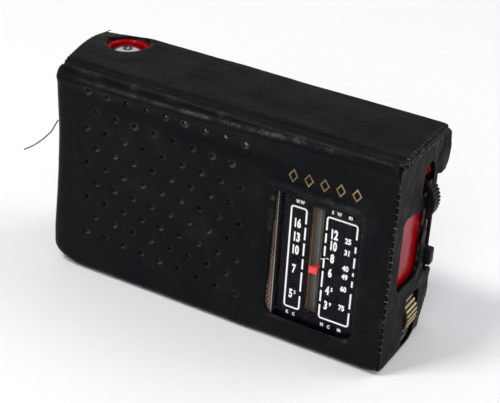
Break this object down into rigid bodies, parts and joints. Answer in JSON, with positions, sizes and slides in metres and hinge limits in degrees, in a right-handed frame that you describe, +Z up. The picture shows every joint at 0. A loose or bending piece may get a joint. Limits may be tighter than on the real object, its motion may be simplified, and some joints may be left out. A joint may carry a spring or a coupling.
{
  "type": "transistor pocket radio",
  "caption": "Pocket radio in a fitted leather carrying case with punched front, dial window, side thumb wheels, band lever, closing back flap and a telescopic antenna sunk in the top.",
  "frame": {"origin": "under the middle of the leather case, on the surface it stands on", "axes": "X to the right along the case's length, Y to the back, Z up"},
  "size_m": [0.1578, 0.0428, 0.08],
  "materials": {
    "black_leather": "soft sheen, fine grain, worn edges",
    "snap_metal": "nickel worn to brass",
    "seam_thread": "waxed thread",
    "gold_foil": "hot stamped foil, slightly worn",
    "red_plastic": "polished moulded",
    "pointer_red": "moulded",
    "grille_metal": "perforated sheet, painted",
    "clear_window": "clear acrylic",
    "dial_black": "polished with printed scales",
    "guide_plate": "zinc plated steel, olive grey",
    "dial_cord_fibre": "braided nylon",
    "white_plastic": "moulded nylon",
    "capacitor_plastic": "satin",
    "steel": "plain plated",
    "brass_rim": "gold plated, ribbed",
    "black_plastic": "moulded, satin",
    "paper_cone": "pressed paper",
    "board_phenolic": "phenolic board",
    "can_aluminium": "drawn can",
    "resistor_body": "lacquered",
    "ferrite": "sintered",
    "coil_wire": "enamelled copper",
    "cell_jacket": "plain metal jacket",
    "antenna_chrome": "chrome plated"
  },
  "bodies": {
    "case_and_radio": {"case_front_panel": "black_leather", "case_top_panel": "black_leather", "case_bottom_panel": "black_leather", "case_left_end_panel": "black_leather", "case_right_end_panel": "black_leather", "case_back_hem": "black_leather", "snap_studs": "snap_metal", "case_stitches": "seam_thread", "foil_ornament": "gold_foil", "loose_thread": "seam_thread", "front_shell": "red_plastic", "rear_shell": "red_plastic", "battery_door": "red_plastic", "shell_screws": "steel", "speaker_grille": "grille_metal", "dial_window": "clear_window", "dial_scale_plate": "dial_black", "pointer_guide_plate": "guide_plate", "dial_cord": "dial_cord_fibre", "tuning_capacitor": "capacitor_plastic", "spindle_bracket": "guide_plate", "volume_control": "black_plastic", "band_switch": "black_plastic", "earphone_jack": "black_plastic", "speaker_frame": "guide_plate", "speaker_cone": "paper_cone", "speaker_magnet": "steel", "circuit_board": "board_phenolic", "board_screws": "steel", "if_cans": "can_aluminium", "transistors": "can_aluminium", "resistors": "resistor_body", "electrolytic_capacitors": "capacitor_plastic", "transformers": "steel", "ferrite_rod": "ferrite", "rod_clips": "white_plastic", "antenna_coil": "coil_wire", "battery_cells": "cell_jacket", "battery_contacts": "steel", "antenna_tube": "antenna_chrome", "antenna_bracket": "guide_plate"},
    "back_flap": {"case_back_flap": "black_leather", "snap_caps": "snap_metal"},
    "tuning_wheel": {"tuning_wheel_rim": "brass_rim", "tuning_wheel_core": "white_plastic", "tuning_spindle": "steel"},
    "pointer": {"pointer": "pointer_red"},
    "drum": {"cord_drum": "white_plastic", "tuning_shaft": "steel"},
    "pulley_upper": {"upper_pulley": "white_plastic"},
    "pulley_lower": {"lower_pulley": "white_plastic"},
    "volume_wheel": {"volume_wheel": "black_plastic"},
    "band_lever": {"band_lever": "black_plastic"},
    "antenna_1": {"antenna_section_1": "antenna_chrome"},
    "antenna_2": {"antenna_section_2": "antenna_chrome"},
    "antenna_3": {"antenna_section_3": "antenna_chrome"},
    "antenna_4": {"antenna_section_4": "antenna_chrome"},
    "antenna_5": {"antenna_tip": "antenna_chrome"}
  },
  "joints": [
    {"name": "flap_hinge", "type": "hinge", "parent": "case_and_radio", "child": "back_flap", "pos_m": [0, 0.02, 0.0782], "axis": [1, 0, 0], "range_deg": [0, 150]},
    {"name": "tuning_spin", "type": "hinge", "parent": "case_and_radio", "child": "tuning_wheel", "pos_m": [0.0575, 0.004, 0.012], "axis": [0, 1, 0], "range_deg": [-272, 351]},
    {"name": "pointer_slide", "type": "slide", "parent": "case_and_radio", "child": "pointer", "axis": [0, 0, 1], "range_m": [-0.01445, 0.0186]},
    {"name": "drum_spin", "type": "hinge", "parent": "case_and_radio", "child": "drum", "pos_m": [0.0508, -0.014, 0.036], "axis": [0, 1, 0], "range_deg": [-79, 102]},
    {"name": "upper_pulley_spin", "type": "hinge", "parent": "case_and_radio", "child": "pulley_upper", "pos_m": [0.0394, -0.014, 0.0575], "axis": [0, 1, 0], "range_deg": [-468, 603]},
    {"name": "lower_pulley_spin", "type": "hinge", "parent": "case_and_radio", "child": "pulley_lower", "pos_m": [0.0394, -0.014, 0.01], "axis": [0, 1, 0], "range_deg": [-468, 603]},
    {"name": "volume_spin", "type": "hinge", "parent": "case_and_radio", "child": "volume_wheel", "pos_m": [0.0585, 0.01, 0.055], "axis": [0, 1, 0], "range_deg": [0, 300]},
    {"name": "band_slide", "type": "slide", "parent": "case_and_radio", "child": "band_lever", "axis": [0, 0, 1], "range_m": [0, 0.005]},
    {"name": "antenna_pull_1", "type": "slide", "parent": "case_and_radio", "child": "antenna_1", "axis": [0, 0, 1], "range_m": [0, 0.048]},
    {"name": "antenna_pull_2", "type": "slide", "parent": "antenna_1", "child": "antenna_2", "axis": [0, 0, 1], "range_m": [0, 0.048]},
    {"name": "antenna_pull_3", "type": "slide", "parent": "antenna_2", "child": "antenna_3", "axis": [0, 0, 1], "range_m": [0, 0.048]},
    {"name": "antenna_pull_4", "type": "slide", "parent": "antenna_3", "child": "antenna_4", "axis": [0, 0, 1], "range_m": [0, 0.048]},
    {"name": "antenna_pull_5", "type": "slide", "parent": "antenna_4", "child": "antenna_5", "axis": [0, 0, 1], "range_m": [0, 0.048]}
  ],
  "couplings": [
    {"joint": "pointer_slide", "follows": "tuning_spin", "m_per_rad": 0.003},
    {"joint": "drum_spin", "follows": "tuning_spin", "ratio": 0.28846},
    {"joint": "upper_pulley_spin", "follows": "tuning_spin", "ratio": 1.7143},
    {"joint": "lower_pulley_spin", "follows": "tuning_spin", "ratio": 1.7143}
  ]
}
